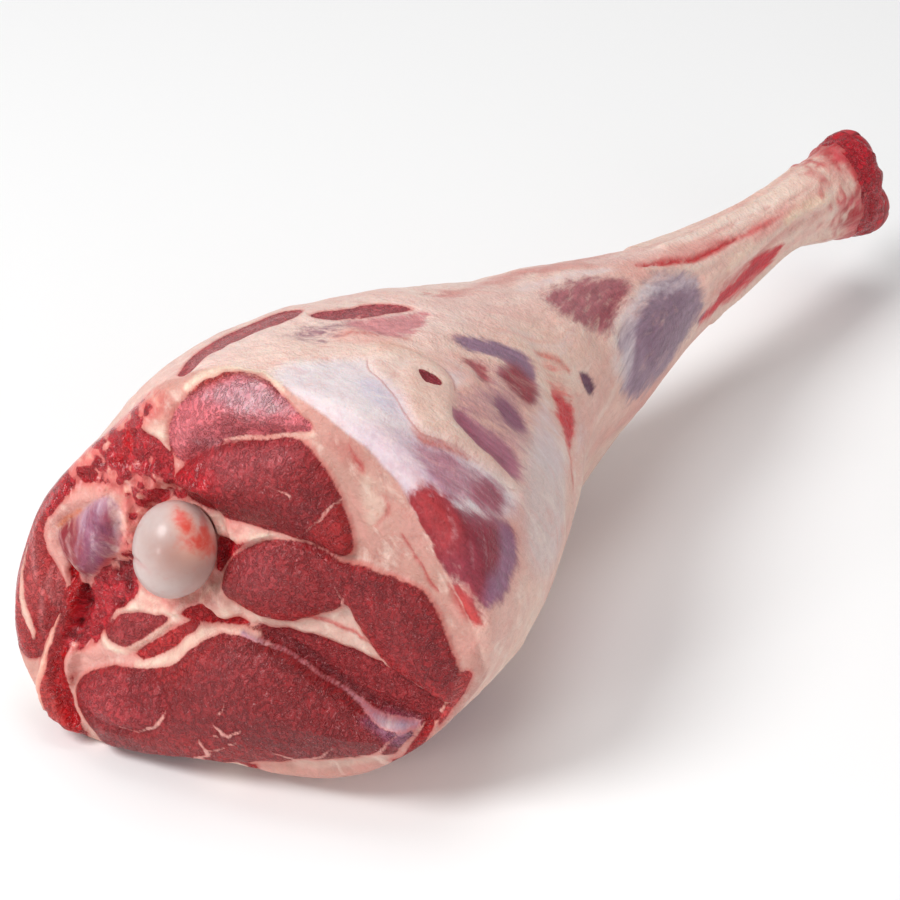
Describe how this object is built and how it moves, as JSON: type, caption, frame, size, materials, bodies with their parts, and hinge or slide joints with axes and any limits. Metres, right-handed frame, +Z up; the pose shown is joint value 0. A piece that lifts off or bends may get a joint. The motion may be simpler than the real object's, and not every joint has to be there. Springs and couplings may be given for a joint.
{
  "type": "raw leg of lamb",
  "caption": "Raw leg of lamb on its side: a thick thigh under fat, a cut hip face with muscles round the ball of the thigh bone, and a tapering shank with a bare bone end.",
  "frame": {"origin": "middle of the bottom of the leg's box, on the table", "axes": "+X from the hip to the shank's end, +Z up"},
  "size_m": [0.426, 0.1644, 0.1399],
  "materials": {
    "meat": "raw meat, moist and satin: red-brown muscle in creamy pink fat, thin silvery skin over the fat cover",
    "bone_ball": "wet ivory gristle with an orange-red stain",
    "raw_bone": "rough dark red raw bone end, moist"
  },
  "bodies": {
    "root": {"meat": "meat", "thigh_bone": "bone_ball", "shank_bone": "raw_bone"}
  },
  "joints": []
}
